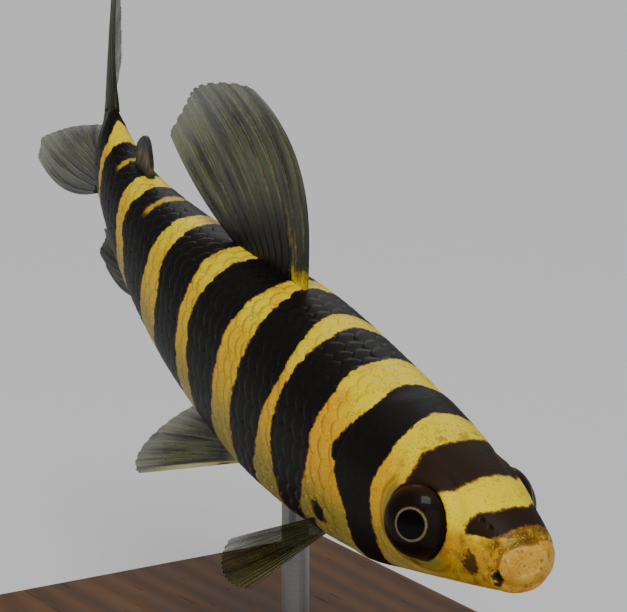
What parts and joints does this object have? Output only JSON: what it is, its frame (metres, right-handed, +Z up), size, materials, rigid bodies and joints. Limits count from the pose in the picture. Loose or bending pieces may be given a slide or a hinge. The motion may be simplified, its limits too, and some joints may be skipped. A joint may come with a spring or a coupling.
{
  "type": "fish model",
  "caption": "Life-size model of a slender banded fish swimming head down with its tail turned, held by a rod on a flat rectangular base.",
  "frame": {"origin": "middle of the stand's underside, on the surface that it stands on", "axes": "+X the way the fish's body heads, +Y the fish's left side, +Z up"},
  "size_m": [0.1316, 0.068, 0.0858],
  "materials": {
    "skin": "moist satin scales, yellow to orange with broad black-brown bands",
    "eye": "glossy near-black iris with a thin tan ring round a black pupil",
    "membrane": "thin olive membrane between darker rays, half see-through in life",
    "walnut": "oiled dark walnut, satin",
    "steel": "satin steel rod"
  },
  "bodies": {
    "root": {"head": "skin", "trunk": "skin", "tail_stalk": "skin", "eye_right": "eye", "eye_left": "eye", "fin_dorsal": "membrane", "fin_adipose": "membrane", "fin_anal": "membrane", "fin_caudal_upper": "membrane", "fin_caudal_lower": "membrane", "fin_pelvic_right": "membrane", "fin_pelvic_left": "membrane", "fin_pectoral_right": "membrane", "fin_pectoral_left": "membrane", "stand_base": "walnut", "stand_rod": "steel"}
  },
  "joints": []
}
